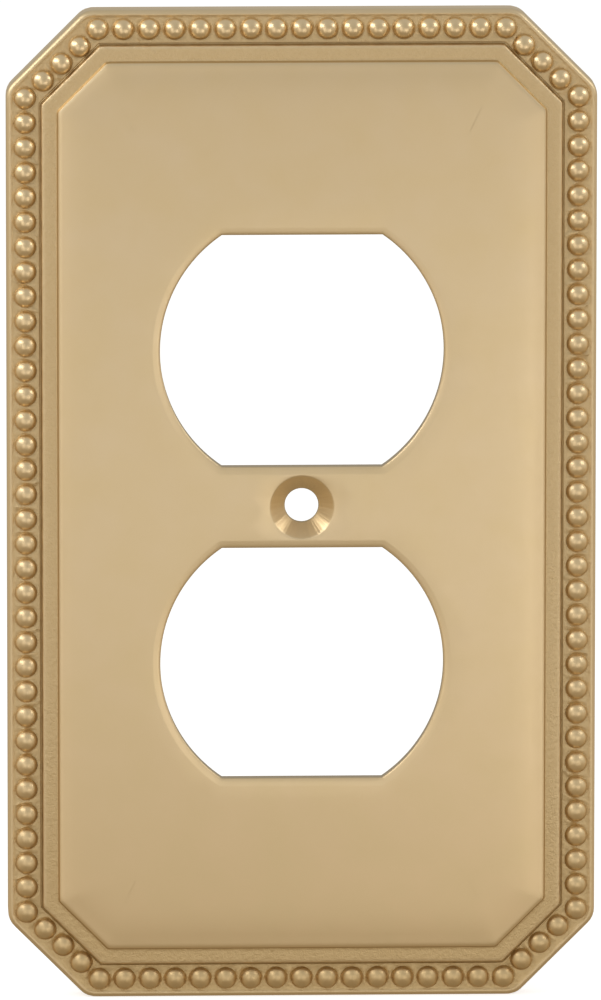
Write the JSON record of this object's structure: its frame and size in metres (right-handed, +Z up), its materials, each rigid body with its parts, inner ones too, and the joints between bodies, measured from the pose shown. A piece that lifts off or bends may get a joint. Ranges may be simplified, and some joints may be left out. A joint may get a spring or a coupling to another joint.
{
  "type": "duplex receptacle wall plate",
  "caption": "Cast brass wall plate with cut corners, a beaded border, a raised stepped panel, two receptacle openings and a countersunk screw hole between them.",
  "frame": {"origin": "on the axis of the screw hole, in the plane of the rear rim, which is the wall plane", "axes": "+Z up along the plate's length, +X to the right as seen from the front, +Y into the wall: the front faces -Y"},
  "size_m": [0.0724, 0.0052, 0.123],
  "materials": {
    "satin_brass": "satin"
  },
  "bodies": {
    "root": {"wall_plate": "satin_brass"}
  },
  "joints": []
}
